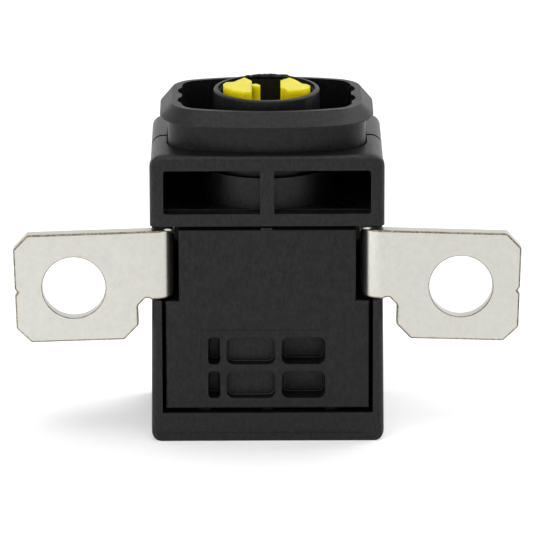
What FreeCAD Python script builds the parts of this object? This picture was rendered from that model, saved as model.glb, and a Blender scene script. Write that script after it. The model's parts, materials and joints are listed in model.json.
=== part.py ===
import FreeCAD, Part
import math
import os

# Pyrotechnic fuse, millimetres, +Z up, -Y towards the front
# Origin: middle of the foot of the cage

# Working margins
CUT_MARGIN = 1.0
OVERLAP = 0.1
TINY = 0.01

# Cage
CAGE_HALF_WIDTH = 16.65
CAGE_WAIST_DRAFT = 0.2
CAGE_DEPTH = 23.5
CAGE_FRONT_WALL = 1.75
CAGE_SIDE_WALL = 1.05
CAGE_FRAME_SIDE = 1.62
CAGE_FLOOR = 2.4
CAGE_ROOF = 2.2
ROOF_OVER_DECK = 6.15
CAGE_TOP_CORNER_R = 1.8
CAGE_BOTTOM_CORNER_R = 1.5
CAGE_EDGE_R = 0.9
CAGE_FRAME_STEP = 0.15
SEAM_GAP = 0.3
SEAM_GROOVE_WIDTH = 0.7
SEAM_GROOVE_DEPTH = 0.3
SILL_HEIGHT = 4.2
BEAM_HEIGHT = 1.8
FOOT_LINE_HEIGHT = 1.2
FOOT_LINE_INSET = 1.35
WINDOW_DIVIDER = 2.0
WINDOW_SIDE = 1.95
WINDOW_CORNER_R = 0.35
NOTCH_GAP_BEHIND = 0.5
NOTCH_GAP_BELOW = 0.25
NOTCH_GAP_ABOVE = 0.6
FLOOR_RIB_WIDTH = 1.6
FLOOR_RIB_SPACING = 9.0
HOLD_RIB_DEPTH = 1.2
HOLD_RIB_REACH = 0.8
HOLD_RIB_SETBACK = 5.15
HOLD_RIB_GAP = 0.05
PEG_R = 0.5
PEG_LENGTH = 2.5
PEG_ROOT = 1.0
PEG_CLEARANCE = 0.1
ROOF_PEG_INSET = 0.3
FLOOR_PEG_INSET = 4.15

# Conductor
BAR_THICKNESS = 2.0
BAR_WIDTH = 10.0
BAR_TOP = 31.4
NECK_HEIGHT = 10.1
HOLE_DIAMETER = 9.0
HOLE_REACH = 11.1
HOLE_RISE = 1.8
PAD_OUTER = 8.4
PAD_INNER = 9.0
PAD_HALF_HEIGHT = 7.95
PAD_CHAMFER = 2.1
PAD_CORNER_R = 0.6
PAD_DROOP_DEG = 1.7
PAD_NOTCH_DEPTH = 0.35
PAD_NOTCH_HEIGHT = 1.0
PAD_NOTCH_DROP = 0.45
THROAT_CHAMFER = 1.2
TAB_PROUD = 0.3
FLANGE_WALL_GAP = 0.2
FRONT_BEND_R = 1.0
DOWN_BEND_R = 0.5
BEND_RELIEF = 0.5
STAMPED_EDGE = 0.12
BRIDGE_HALF_LENGTH = 5.6
SCORE_DEPTH = 0.6
SCORE_GAP = 0.05

# Lower body
PANEL_SETBACK = 0.35
PANEL_FLANGE_GAP = 0.8
PANEL_SIDE_GAP = 0.48
PANEL_SHOULDER_GAP = 0.47
PANEL_FOOT_GAP = 0.55
PANEL_EDGE_R = 0.3
SIDE_FIN_HEIGHT = 3.0
SIDE_FIN_DEPTH = 1.0
SIDE_FIN_GAP = 0.15
BODY_WALL = 4.6
BODY_SHELL = 2.0
BODY_DECK = 5.0
REAR_CLEARANCE = 0.2
CHAMBER_CLEARANCE = 0.65
CHAMBER_FLOOR_GAP = 0.4
CHAMBER_CORNER_R = 1.0
BAR_SLOT_CLEARANCE = 0.2
CATCH_CENTRE_X = -0.1
CATCH_WIDTH = 1.7
CATCH_HEIGHT = 0.3
CATCH_DEPTH = 1.1
CATCH_PROUD = 0.2
POCKET_ROW_HEIGHT = 4.07
POCKET_ROWS = (8.35, 13.4)
SLOT_POCKET = (-7.63, 1.73, 3.2, 0.6)
MIDDLE_POCKET = (-2.37, 6.94, 1.6, 1.0)
RIGHT_POCKET = (5.1, 6.2, 3.2, 1.0)
SLIDE_LINE = (-9.57, 8.39, 16.6)
LINE_WIDTH = 0.15
LINE_DEPTH = 0.06

# Upper body
DECK_THICKNESS = 2.6
DECK_SIDE_CLEARANCE = 0.3
DECK_CORNER_R = 1.0
BARREL_GAP = 0.15
BARREL_HEIGHT = 4.5
BARREL_STEP = 1.05
SHROUD_FLOOR_DROP = 1.35
SHROUD_FLOOR_THICKNESS = 1.4
SHROUD_CLEARANCE = 0.2
SHROUD_SIDE_SETBACK = 2.55
SHROUD_SETBACK = 1.85
SHROUD_FRONT_R = 32.0
SHROUD_CORNER_R = 4.5
LIP_SIDE_SETBACK = 1.45
LIP_SETBACK = 0.15
LIP_FRONT_R = 45.0
LIP_CORNER_R = 7.5
LIP_RISE = 5.2
LIP_BAND = 0.2
LIP_UNDERCUT = 0.4
RIM_RISE = 2.05
RIM_SIDE_SETBACK = 3.15
RIM_SETBACK = 1.8
RIM_FRONT_R = 36.0
RIM_CORNER_R = 4.5
MOUTH_SIDE_SETBACK = 4.55
MOUTH_SETBACK = 2.48
MOUTH_FRONT_R = 35.0
MOUTH_CORNER_R = 3.0
END_GROOVE_R = 2.85
END_GROOVE_DEPTH = 0.6
END_GROOVE_PLACES = (2.1, -3.0)
SOCKET_RISE = 8.2
SOCKET_OUTER_R = 7.57
SOCKET_BORE_R = 6.6
SOCKET_STEP_R = 6.95
SOCKET_STEP_DEPTH = 0.5
SOCKET_EDGE_R = 0.3

# Piston and igniter
PISTON_R = 5.4
PISTON_HEIGHT = 6.2
PISTON_STANDOFF = 0.2
PISTON_CROWN = 2.2
PISTON_RUNNING_GAP = 0.1
PISTON_STROKE = 7.0
SEAL_SECTION_R = 0.45
SEAL_SQUEEZE_GAP = 0.03
SEAL_GROOVE_HEIGHT = 1.1
PISTON_SEAL_DROP = 1.3
IGNITER_GAP = 0.3
HOLDER_BOSS_HEIGHT = 1.3
HOLDER_DISC_HEIGHT = 1.8
HOLDER_FIT = 0.08
HEADER_R = 3.3
HEADER_HEIGHT = 2.0
HEADER_SINK = 0.9
FIT = 0.03
CUP_WALL = 0.3
CUP_DEPTH = 3.85
CHARGE_HEIGHT = 2.3
PIN_R = 0.5
PIN_SPACING = 3.4
PIN_REACH = 5.3
PIN_TIP_R = 0.25
GLASS_R = 1.2
POCKET_CLEARANCE = 0.3

# Insert in the socket
INSERT_BASE_HEIGHT = 1.6
INSERT_FIT = 0.13
INSERT_PROUD = 0.7
INSERT_STEP_DROP = 0.1
INSERT_LUG_SINK = 0.2
INSERT_PIN_ROOM = 0.15
LEFT_LUG = (
    (-6.2, -0.6), (-5.8, 0.5), (-4.7, 0.7), (-3.15, 3.2), (-2.1, 1.2),
    (-2.1, -4.7), (-3.3, -4.9), (-4.7, -3.9), (-6.1, -2.1),
)
LEFT_STEP = ((-2.2, -0.1), (-1.43, 0.0), (-0.9, -0.75), (-0.9, -1.4), (-2.2, -1.3))
RIGHT_LUG = (
    (2.0, 1.4), (3.3, 3.0), (4.3, 1.5), (5.1, -0.45), (5.7, -0.7), (6.3, -1.85),
    (6.3, -3.1), (4.95, -3.65), (3.4, -4.15), (2.8, -4.0), (2.6, -2.8), (2.0, -2.6),
)
SPRING_THICKNESS = 0.25
SPRING_WIDTH = 5.4
SPRING_SLIT = 0.8
SPRING_ROOM = 0.25
SPRING_PIN_GAP = 0.1
SPRING_HEIGHT = 4.0
SPRING_BOW = 1.5
SPRING_FOOT = 1.0
SPRING_TIP = 0.9
SPRING_KNEE_SHARE = 0.55

# Screws
SCREW_SHIFT = 0.575
SCREW_R = 1.25
SCREW_LENGTH = 12.0
SCREW_HEAD_R = 2.35
SCREW_HEAD_HEIGHT = 1.3
SCREW_FIT = 0.03
SCREW_DRIVE_WIDTH = 1.5
SCREW_DRIVE_DEPTH = 0.9
SCREW_TIP_ROOM = 0.5

# Worked out from the sizes above
FRONT_Y = -CAGE_DEPTH / 2
REAR_Y = CAGE_DEPTH / 2
INSIDE_FRONT_Y = FRONT_Y + CAGE_FRONT_WALL
INSIDE_REAR_Y = REAR_Y - CAGE_FRONT_WALL
INSIDE_HALF_WIDTH = CAGE_HALF_WIDTH - CAGE_SIDE_WALL
FLOOR_PEG_X = CAGE_HALF_WIDTH - FLOOR_PEG_INSET
BAR_UNDERSIDE = BAR_TOP - BAR_THICKNESS
NECK_BOTTOM = BAR_TOP - NECK_HEIGHT
NOTCH_BOTTOM = NECK_BOTTOM - NOTCH_GAP_BELOW
NOTCH_TOP = BAR_TOP + NOTCH_GAP_ABOVE
WINDOW_BOTTOM = NOTCH_TOP + BEAM_HEIGHT
DECK_TOP = BAR_TOP + DECK_THICKNESS
ROOF_UNDERSIDE = DECK_TOP + ROOF_OVER_DECK
CAGE_HEIGHT = ROOF_UNDERSIDE + CAGE_ROOF
NOTCH_BACK_Y = -BAR_WIDTH / 2 - NOTCH_GAP_BEHIND
HOLD_RIB_Y = REAR_Y - HOLD_RIB_SETBACK
TAB_FRONT_Y = FRONT_Y - TAB_PROUD
TAB_BACK_Y = TAB_FRONT_Y + BAR_THICKNESS
FLANGE_OUTER = INSIDE_HALF_WIDTH - FLANGE_WALL_GAP
FLANGE_INNER = FLANGE_OUTER - BAR_THICKNESS
BEND_END = FLANGE_OUTER + FRONT_BEND_R
HOLE_X = BEND_END + HOLE_REACH
HOLE_HEIGHT = NECK_BOTTOM + HOLE_RISE
PANEL_Y = FRONT_Y + PANEL_SETBACK
PANEL_FOOT = SILL_HEIGHT + PANEL_FOOT_GAP
PANEL_TOP_HALF_WIDTH = FLANGE_INNER - PANEL_FLANGE_GAP
PANEL_LOW_HALF_WIDTH = CAGE_HALF_WIDTH - CAGE_FRAME_SIDE - PANEL_SIDE_GAP
BODY_REAR_Y = INSIDE_REAR_Y - REAR_CLEARANCE
BODY_SHOULDER = NECK_BOTTOM - PANEL_SHOULDER_GAP
BARREL_R = INSIDE_REAR_Y - BARREL_GAP
BARREL_NECK_R = BARREL_R - BARREL_STEP
SHROUD_FLOOR_TOP = CAGE_HEIGHT - SHROUD_FLOOR_DROP
SHROUD_HALF_WIDTH = CAGE_HALF_WIDTH - SHROUD_SIDE_SETBACK
SHROUD_HALF_DEPTH = REAR_Y - SHROUD_SETBACK
LIP_HEIGHT = SHROUD_FLOOR_TOP + LIP_RISE
LIP_HALF_WIDTH = CAGE_HALF_WIDTH - LIP_SIDE_SETBACK
LIP_HALF_DEPTH = REAR_Y - LIP_SETBACK
RIM_HEIGHT = LIP_HEIGHT + RIM_RISE
RIM_HALF_WIDTH = CAGE_HALF_WIDTH - RIM_SIDE_SETBACK
RIM_HALF_DEPTH = REAR_Y - RIM_SETBACK
MOUTH_HALF_WIDTH = CAGE_HALF_WIDTH - MOUTH_SIDE_SETBACK
MOUTH_HALF_DEPTH = REAR_Y - MOUTH_SETBACK
SOCKET_HEIGHT = SHROUD_FLOOR_TOP + SOCKET_RISE
BORE_R = PISTON_R + PISTON_RUNNING_GAP
PISTON_BOTTOM = BAR_TOP + PISTON_STANDOFF
PISTON_TOP = PISTON_BOTTOM + PISTON_HEIGHT
CHAMBER_HALF_X = BRIDGE_HALF_LENGTH + CHAMBER_CLEARANCE
CHAMBER_HALF_Y = PISTON_R + CHAMBER_CLEARANCE
CHAMBER_FLOOR = BAR_UNDERSIDE - PISTON_STROKE - CHAMBER_FLOOR_GAP
BODY_CEILING = CHAMBER_FLOOR - BODY_DECK
DECK_HALF_X = INSIDE_HALF_WIDTH - DECK_SIDE_CLEARANCE
SCREW_X = (CHAMBER_HALF_X + DECK_HALF_X) / 2 - SCREW_SHIFT
SCREW_Y = (BAR_WIDTH / 2 + BODY_REAR_Y) / 2
HOLDER_BOTTOM = PISTON_TOP + IGNITER_GAP
HOLDER_LEDGE = HOLDER_BOTTOM + HOLDER_BOSS_HEIGHT
HOLDER_TOP = HOLDER_LEDGE + HOLDER_DISC_HEIGHT
HEADER_TOP = HOLDER_BOTTOM + HEADER_SINK
HEADER_BOTTOM = HEADER_TOP - HEADER_HEIGHT
PIN_TOP = HOLDER_TOP + PIN_REACH
CUP_OUTER_R = HEADER_R + FIT + CUP_WALL
CUP_TOP = HOLDER_BOTTOM - FIT
CUP_BOTTOM = CUP_TOP - CUP_DEPTH
PISTON_POCKET_R = CUP_OUTER_R + POCKET_CLEARANCE
PISTON_POCKET_FLOOR = PISTON_BOTTOM + PISTON_CROWN
GROOVE_R = PISTON_R - 2 * SEAL_SECTION_R
INSERT_BASE_TOP = HOLDER_TOP + INSERT_BASE_HEIGHT
INSERT_TOP = SOCKET_HEIGHT + INSERT_PROUD
INSERT_STEP_TOP = INSERT_TOP - INSERT_STEP_DROP
INSERT_R = SOCKET_BORE_R - INSERT_FIT


def vec(x, y, z):
    return FreeCAD.Vector(x, y, z)


def box(x0, x1, y0, y1, z0, z1):
    return Part.makeBox(x1 - x0, y1 - y0, z1 - z0, vec(x0, y0, z0))


def cylinder(radius, z0, z1, x=0.0, y=0.0):
    return Part.makeCylinder(radius, z1 - z0, vec(x, y, z0))


def ring(outer, inner, z0, z1):
    return cylinder(outer, z0, z1).cut(cylinder(inner, z0 - CUT_MARGIN, z1 + CUT_MARGIN))


def front_prism(points, y0, y1):
    """Solid between y0 and y1 over an outline of (x, z) points."""
    corners = [vec(x, y0, z) for x, z in points]
    wire = Part.makePolygon(corners + [corners[0]])
    return Part.Face(wire).extrude(vec(0, y1 - y0, 0))


def plan_prism(points, z0, z1):
    """Solid between z0 and z1 over an outline of (x, y) points."""
    corners = [vec(x, y, z0) for x, y in points]
    wire = Part.makePolygon(corners + [corners[0]])
    return Part.Face(wire).extrude(vec(0, 0, z1 - z0))


def is_along(edge, axis):
    """True for a straight edge that runs along the given axis."""
    if len(edge.Vertexes) != 2:
        return False
    run = edge.Vertexes[1].Point.sub(edge.Vertexes[0].Point)
    return run.Length > 0 and abs(run.normalize().dot(axis)) > 0.999


def rounded_pocket(x0, x1, z0, z1, radius, y0, y1):
    block = box(x0, x1, y0, y1, z0, z1)
    corners = [e for e in block.Edges if is_along(e, vec(0, 1, 0))]
    return block.makeFillet(radius, corners)


def rounded_post(half_x, half_y, radius, z0, z1):
    block = box(-half_x, half_x, -half_y, half_y, z0, z1)
    corners = [e for e in block.Edges if is_along(e, vec(0, 0, 1))]
    return block.makeFillet(radius, corners)


def mirrored(shape):
    return shape.mirror(vec(0, 0, 0), vec(1, 0, 0))


def shroud_wire(half_width, half_depth, front_r, corner_r, z):
    """Outline with bowed front and back, flat ends and round corners."""
    bow_centre = front_r - half_depth
    reach = half_width - corner_r
    drop = math.sqrt((front_r - corner_r) ** 2 - reach ** 2)
    flat = drop - bow_centre
    slope = math.atan2(drop, reach)
    touch_x = front_r * math.cos(slope)
    touch_y = front_r * math.sin(slope) - bow_centre
    half_turn = slope / 2
    middle_x = reach + corner_r * math.cos(half_turn)
    middle_y = flat + corner_r * math.sin(half_turn)

    def point(x, y):
        return vec(x, y, z)

    edges = []
    for end in (1, -1):
        ends = point(end * half_width, -end * flat), point(end * half_width, end * flat)
        edges.append(Part.LineSegment(*ends).toShape())
        near = Part.Arc(
            point(end * half_width, end * flat),
            point(end * middle_x, end * middle_y),
            point(end * touch_x, end * touch_y),
        )
        bow = Part.Arc(
            point(end * touch_x, end * touch_y),
            point(0, end * half_depth),
            point(-end * touch_x, end * touch_y),
        )
        far = Part.Arc(
            point(-end * touch_x, end * touch_y),
            point(-end * middle_x, end * middle_y),
            point(-end * half_width, end * flat),
        )
        edges += [near.toShape(), bow.toShape(), far.toShape()]
    return Part.Wire(edges)


def shroud_block(half_width, half_depth, front_r, corner_r, z0, z1):
    wire = shroud_wire(half_width, half_depth, front_r, corner_r, z0)
    return Part.Face(wire).extrude(vec(0, 0, z1 - z0))


def cage_outline(inset):
    """Front view of the cage, with its sides and top drawn in."""
    half = CAGE_HALF_WIDTH - inset
    side = [
        (half, 0),
        (half - CAGE_WAIST_DRAFT, NOTCH_BOTTOM),
        (half, NOTCH_TOP),
        (half, CAGE_HEIGHT - inset),
    ]
    return side + [(-x, z) for x, z in reversed(side)]


def level_edges(shape, z):
    """Front-to-back edges at one height."""
    edges = [e for e in shape.Edges if is_along(e, vec(0, 1, 0))]
    return [e for e in edges if abs(e.Vertexes[0].Point.z - z) < TINY]


def rim_edges(shape, y):
    """Edges that lie in one upright plane across the cage."""
    return [e for e in shape.Edges if all(abs(v.Point.y - y) < TINY for v in e.Vertexes)]


def flat_edges(shape, z):
    """Edges that lie in one level plane."""
    return [e for e in shape.Edges if all(abs(v.Point.z - z) < TINY for v in e.Vertexes)]


def cage_prism(inset, y0, y1):
    block = front_prism(cage_outline(inset), y0, y1)
    top = level_edges(block, CAGE_HEIGHT - inset)
    block = block.makeFillet(CAGE_TOP_CORNER_R - inset, top)
    return block.makeFillet(CAGE_BOTTOM_CORNER_R, level_edges(block, 0))


def seam_groove():
    """Shadow groove round the joint of the two halves, open on the outside."""
    half = SEAM_GROOVE_WIDTH / 2
    wide = CAGE_HALF_WIDTH + CUT_MARGIN
    band = box(-wide, wide, -half, half, 0, CAGE_HEIGHT + CUT_MARGIN)
    depth = CAGE_FRAME_STEP + SEAM_GROOVE_DEPTH
    return band.cut(cage_prism(depth, -half - CUT_MARGIN, half + CUT_MARGIN))


def front_frame():
    """Frame rounded along its sides and top, and sharp along the foot."""
    block = front_prism(cage_outline(0.0), FRONT_Y, INSIDE_FRONT_Y)
    block = block.makeFillet(CAGE_TOP_CORNER_R, level_edges(block, CAGE_HEIGHT))
    rim = [e for e in rim_edges(block, FRONT_Y) if e.BoundBox.ZMax > TINY]
    block = block.makeFillet(CAGE_EDGE_R, rim)
    return block.common(cage_prism(0.0, FRONT_Y - CUT_MARGIN, INSIDE_FRONT_Y))


def foot_line():
    """Fine line across the front of the foot."""
    wide = CAGE_HALF_WIDTH - FOOT_LINE_INSET
    top = FOOT_LINE_HEIGHT + LINE_WIDTH
    return box(-wide, wide, FRONT_Y - CUT_MARGIN, FRONT_Y + LINE_DEPTH, FOOT_LINE_HEIGHT, top)


def cage_block():
    """Outer block of both halves: front frame, and the shell drawn in behind it."""
    frame = front_frame().cut(foot_line())
    shell = cage_prism(CAGE_FRAME_STEP, INSIDE_FRONT_Y - OVERLAP, REAR_Y)
    shell = shell.makeFillet(CAGE_EDGE_R, rim_edges(shell, REAR_Y))
    return frame.fuse(shell).cut(seam_groove())


def cage_inside():
    return box(
        -INSIDE_HALF_WIDTH, INSIDE_HALF_WIDTH,
        INSIDE_FRONT_Y, INSIDE_REAR_Y,
        CAGE_FLOOR, ROOF_UNDERSIDE,
    )


def cage_roof_opening():
    """Hole in the roof, which follows the outline of the shroud."""
    return shroud_block(
        SHROUD_HALF_WIDTH + SHROUD_CLEARANCE, SHROUD_HALF_DEPTH + SHROUD_CLEARANCE,
        SHROUD_FRONT_R + SHROUD_CLEARANCE, SHROUD_CORNER_R + SHROUD_CLEARANCE,
        ROOF_UNDERSIDE - CUT_MARGIN, CAGE_HEIGHT + CUT_MARGIN,
    )


def cage_windows():
    outer = CAGE_HALF_WIDTH - WINDOW_SIDE
    inner = WINDOW_DIVIDER / 2
    block = box(
        inner, outer,
        FRONT_Y - CUT_MARGIN, INSIDE_FRONT_Y + CUT_MARGIN,
        WINDOW_BOTTOM, ROOF_UNDERSIDE,
    )
    corners = [
        e for e in block.Edges
        if is_along(e, vec(0, 1, 0)) and e.Vertexes[0].Point.x > outer - TINY
    ]
    right = block.makeFillet(WINDOW_CORNER_R, corners)
    return right.fuse(mirrored(right))


def cage_front_opening():
    half_x = CAGE_HALF_WIDTH - CAGE_FRAME_SIDE
    y0 = FRONT_Y - CUT_MARGIN
    return box(-half_x, half_x, y0, INSIDE_FRONT_Y + CUT_MARGIN, SILL_HEIGHT, NOTCH_TOP)


def cage_notches():
    inner = INSIDE_HALF_WIDTH - CUT_MARGIN
    outer = CAGE_HALF_WIDTH + CUT_MARGIN
    right = box(inner, outer, FRONT_Y - CUT_MARGIN, NOTCH_BACK_Y, NOTCH_BOTTOM, NOTCH_TOP)
    return right.fuse(mirrored(right))


def cage_half(y0, y1):
    wide = CAGE_HALF_WIDTH + CUT_MARGIN
    return box(-wide, wide, y0, y1, -CUT_MARGIN, CAGE_HEIGHT + CUT_MARGIN)


def floor_ribs(y0, y1):
    ribs = []
    for step in (-1, 0, 1):
        x = step * FLOOR_RIB_SPACING
        half = FLOOR_RIB_WIDTH / 2
        ribs.append(box(x - half, x + half, y0, y1, CAGE_FLOOR - OVERLAP, PANEL_FOOT))
    return ribs


def hold_ribs(y_middle):
    """Ribs on the side walls that stand on the deck of the upper body."""
    outer = INSIDE_HALF_WIDTH + OVERLAP
    inner = INSIDE_HALF_WIDTH - HOLD_RIB_REACH
    y0 = y_middle - HOLD_RIB_DEPTH / 2
    y1 = y_middle + HOLD_RIB_DEPTH / 2
    right = box(inner, outer, y0, y1, DECK_TOP + HOLD_RIB_GAP, ROOF_UNDERSIDE + OVERLAP)
    return [right, mirrored(right)]


def peg_places():
    roof_edge = SHROUD_HALF_WIDTH + SHROUD_CLEARANCE
    roof_x = (roof_edge + CAGE_HALF_WIDTH) / 2 - ROOF_PEG_INSET
    roof_z = (ROOF_UNDERSIDE + CAGE_HEIGHT) / 2 - ROOF_PEG_INSET
    places = []
    for side in (-1, 1):
        places.append((side * roof_x, roof_z))
        places.append((side * FLOOR_PEG_X, CAGE_FLOOR / 2))
    return places


def peg(x, z, radius, y_from, y_to):
    return Part.makeCylinder(radius, y_to - y_from, vec(x, y_from, z), vec(0, 1, 0))


def make_front_cage():
    shape = cage_block().cut(cage_inside())
    shape = shape.cut(cage_windows()).cut(cage_front_opening())
    shape = shape.cut(cage_notches()).cut(cage_roof_opening())
    seam_y = -SEAM_GAP / 2
    shape = shape.common(cage_half(FRONT_Y - CUT_MARGIN, seam_y))
    ribs = floor_ribs(INSIDE_FRONT_Y - OVERLAP, seam_y)
    shape = shape.fuse(ribs + hold_ribs(-HOLD_RIB_Y)).removeSplitter()
    for x, z in peg_places():
        depth = seam_y - PEG_LENGTH - PEG_CLEARANCE
        shape = shape.cut(peg(x, z, PEG_R + PEG_CLEARANCE, depth, seam_y + CUT_MARGIN))
    return shape


def make_rear_cage():
    shape = cage_block().cut(cage_inside()).cut(cage_roof_opening())
    seam_y = SEAM_GAP / 2
    shape = shape.common(cage_half(seam_y, REAR_Y + CUT_MARGIN))
    ribs = floor_ribs(seam_y, INSIDE_REAR_Y + OVERLAP)
    pegs = [peg(x, z, PEG_R, -PEG_LENGTH, PEG_ROOT) for x, z in peg_places()]
    return shape.fuse(ribs + hold_ribs(HOLD_RIB_Y) + pegs).removeSplitter()


def pad_point(along, up):
    """Point of the drooping pad, measured from the middle of its hole."""
    droop = math.radians(PAD_DROOP_DEG)
    x = HOLE_X + along * math.cos(droop) + up * math.sin(droop)
    z = HOLE_HEIGHT - along * math.sin(droop) + up * math.cos(droop)
    return x, z


def tab_outline():
    notch_z = -PAD_NOTCH_DROP
    half_notch = PAD_NOTCH_HEIGHT / 2
    throat = NECK_BOTTOM - HOLE_HEIGHT
    outline = [
        (BEND_END, NECK_BOTTOM),
        (BEND_END, BAR_TOP),
        pad_point(PAD_OUTER - PAD_CHAMFER, PAD_HALF_HEIGHT),
        pad_point(PAD_OUTER, PAD_HALF_HEIGHT - PAD_CHAMFER),
        pad_point(PAD_OUTER, notch_z + half_notch),
        pad_point(PAD_OUTER - PAD_NOTCH_DEPTH, notch_z),
        pad_point(PAD_OUTER, notch_z - half_notch),
        pad_point(PAD_OUTER, PAD_CHAMFER - PAD_HALF_HEIGHT),
        pad_point(PAD_OUTER - PAD_CHAMFER, -PAD_HALF_HEIGHT),
        pad_point(PAD_CHAMFER - PAD_INNER, -PAD_HALF_HEIGHT),
        pad_point(-PAD_INNER, PAD_CHAMFER - PAD_HALF_HEIGHT),
        pad_point(-PAD_INNER, throat - THROAT_CHAMFER),
        pad_point(-PAD_INNER - THROAT_CHAMFER, throat),
    ]
    return outline


def make_tab():
    tab = front_prism(tab_outline(), TAB_FRONT_Y, TAB_BACK_Y)
    softened = []
    for edge in tab.Edges:
        point = edge.Vertexes[0].Point
        off_bend = point.x > BEND_END + TINY
        off_notch = abs(point.z - HOLE_HEIGHT) > 2 * PAD_NOTCH_HEIGHT
        off_notch = off_notch or point.x < HOLE_X
        if is_along(edge, vec(0, 1, 0)) and off_bend and off_notch:
            softened.append(edge)
    tab = tab.makeFillet(PAD_CORNER_R, softened)
    rim = [e for e in rim_edges(tab, TAB_FRONT_Y) if e.BoundBox.XMax > BEND_END + TINY]
    tab = tab.makeChamfer(STAMPED_EDGE, rim)
    hole = Part.makeCylinder(
        HOLE_DIAMETER / 2, BAR_THICKNESS + 2 * CUT_MARGIN,
        vec(HOLE_X, TAB_FRONT_Y - CUT_MARGIN, HOLE_HEIGHT), vec(0, 1, 0),
    )
    return tab.cut(hole)


def outer_bend_edges(strip):
    """Upper and lower edges along the outside of the bend."""
    edges = flat_edges(strip, NECK_BOTTOM) + flat_edges(strip, BAR_TOP)

    def outside(point):
        return point.x < FLANGE_INNER + TINY or point.y < TAB_FRONT_Y + TINY

    return [e for e in edges if all(outside(v.Point) for v in e.Vertexes)]


def make_front_flange():
    """Upright strip that runs forward and bends out into the tab."""
    back = -BAR_WIDTH / 2 + OVERLAP
    centre_y = TAB_BACK_Y + FRONT_BEND_R
    outer_r = FRONT_BEND_R + BAR_THICKNESS
    half = math.sqrt(0.5)
    z = NECK_BOTTOM

    def arc(radius, start_first):
        side = vec(BEND_END - radius, centre_y, z)
        middle = vec(BEND_END - radius * half, centre_y - radius * half, z)
        front = vec(BEND_END, centre_y - radius, z)
        if start_first:
            return Part.Arc(side, middle, front).toShape()
        return Part.Arc(front, middle, side).toShape()

    def line(a, b):
        return Part.LineSegment(vec(a[0], a[1], z), vec(b[0], b[1], z)).toShape()

    edges = [
        line((FLANGE_OUTER, back), (FLANGE_OUTER, centre_y)),
        arc(FRONT_BEND_R, True),
        line((BEND_END, TAB_BACK_Y), (BEND_END, TAB_FRONT_Y)),
        arc(outer_r, False),
        line((FLANGE_INNER, centre_y), (FLANGE_INNER, back)),
        line((FLANGE_INNER, back), (FLANGE_OUTER, back)),
    ]
    strip = Part.Face(Part.Wire(edges)).extrude(vec(0, 0, NECK_HEIGHT))
    strip = strip.makeChamfer(STAMPED_EDGE, outer_bend_edges(strip))
    relief_z = BAR_TOP - BAR_THICKNESS - DOWN_BEND_R - BEND_RELIEF
    relief = box(
        FLANGE_INNER - CUT_MARGIN, FLANGE_OUTER + CUT_MARGIN,
        -BAR_WIDTH / 2 - BEND_RELIEF, 0,
        relief_z, BAR_TOP + CUT_MARGIN,
    )
    return strip.cut(relief)


def make_clamped_plate():
    """Flat plate with the scored end, bent down into the flange."""
    outer_r = DOWN_BEND_R + BAR_THICKNESS
    bend_x = FLANGE_OUTER - outer_r
    bend_z = BAR_TOP - outer_r
    half = math.sqrt(0.5)
    y = -BAR_WIDTH / 2
    tip_x = BRIDGE_HALF_LENGTH + SCORE_GAP
    full_x = tip_x + SCORE_DEPTH

    def point(x, z):
        return vec(x, y, z)

    def line(*ends):
        return Part.LineSegment(*ends).toShape()

    edges = [
        line(point(full_x, BAR_TOP), point(bend_x, BAR_TOP)),
        Part.Arc(
            point(bend_x, BAR_TOP),
            point(bend_x + outer_r * half, bend_z + outer_r * half),
            point(FLANGE_OUTER, bend_z),
        ).toShape(),
        line(point(FLANGE_OUTER, bend_z), point(FLANGE_OUTER, NECK_BOTTOM)),
        line(point(FLANGE_OUTER, NECK_BOTTOM), point(FLANGE_INNER, NECK_BOTTOM)),
        line(point(FLANGE_INNER, NECK_BOTTOM), point(FLANGE_INNER, bend_z)),
        Part.Arc(
            point(FLANGE_INNER, bend_z),
            point(bend_x + DOWN_BEND_R * half, bend_z + DOWN_BEND_R * half),
            point(bend_x, BAR_UNDERSIDE),
        ).toShape(),
        line(point(bend_x, BAR_UNDERSIDE), point(full_x, BAR_UNDERSIDE)),
        line(point(full_x, BAR_UNDERSIDE), point(tip_x, BAR_UNDERSIDE + SCORE_DEPTH)),
        line(point(tip_x, BAR_UNDERSIDE + SCORE_DEPTH), point(tip_x, BAR_TOP - SCORE_DEPTH)),
        line(point(tip_x, BAR_TOP - SCORE_DEPTH), point(full_x, BAR_TOP)),
    ]
    return Part.Face(Part.Wire(edges)).extrude(vec(0, BAR_WIDTH, 0))


def make_right_terminal():
    shape = make_clamped_plate().fuse([make_front_flange(), make_tab()])
    return shape.removeSplitter()


def make_shear_bridge():
    full_x = BRIDGE_HALF_LENGTH - SCORE_DEPTH
    side = [
        (full_x, BAR_UNDERSIDE),
        (BRIDGE_HALF_LENGTH, BAR_UNDERSIDE + SCORE_DEPTH),
        (BRIDGE_HALF_LENGTH, BAR_TOP - SCORE_DEPTH),
        (full_x, BAR_TOP),
    ]
    outline = side + [(-x, z) for x, z in reversed(side)]
    return front_prism(outline, -BAR_WIDTH / 2, BAR_WIDTH / 2)


def panel_pockets():
    pockets = []
    for middle_z in POCKET_ROWS:
        z0 = middle_z - POCKET_ROW_HEIGHT / 2
        z1 = middle_z + POCKET_ROW_HEIGHT / 2
        for middle_x, width, depth, radius in (SLOT_POCKET, MIDDLE_POCKET, RIGHT_POCKET):
            x0 = middle_x - width / 2
            x1 = middle_x + width / 2
            y0 = PANEL_Y - CUT_MARGIN
            pockets.append(rounded_pocket(x0, x1, z0, z1, radius, y0, PANEL_Y + depth))
    return pockets


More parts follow.
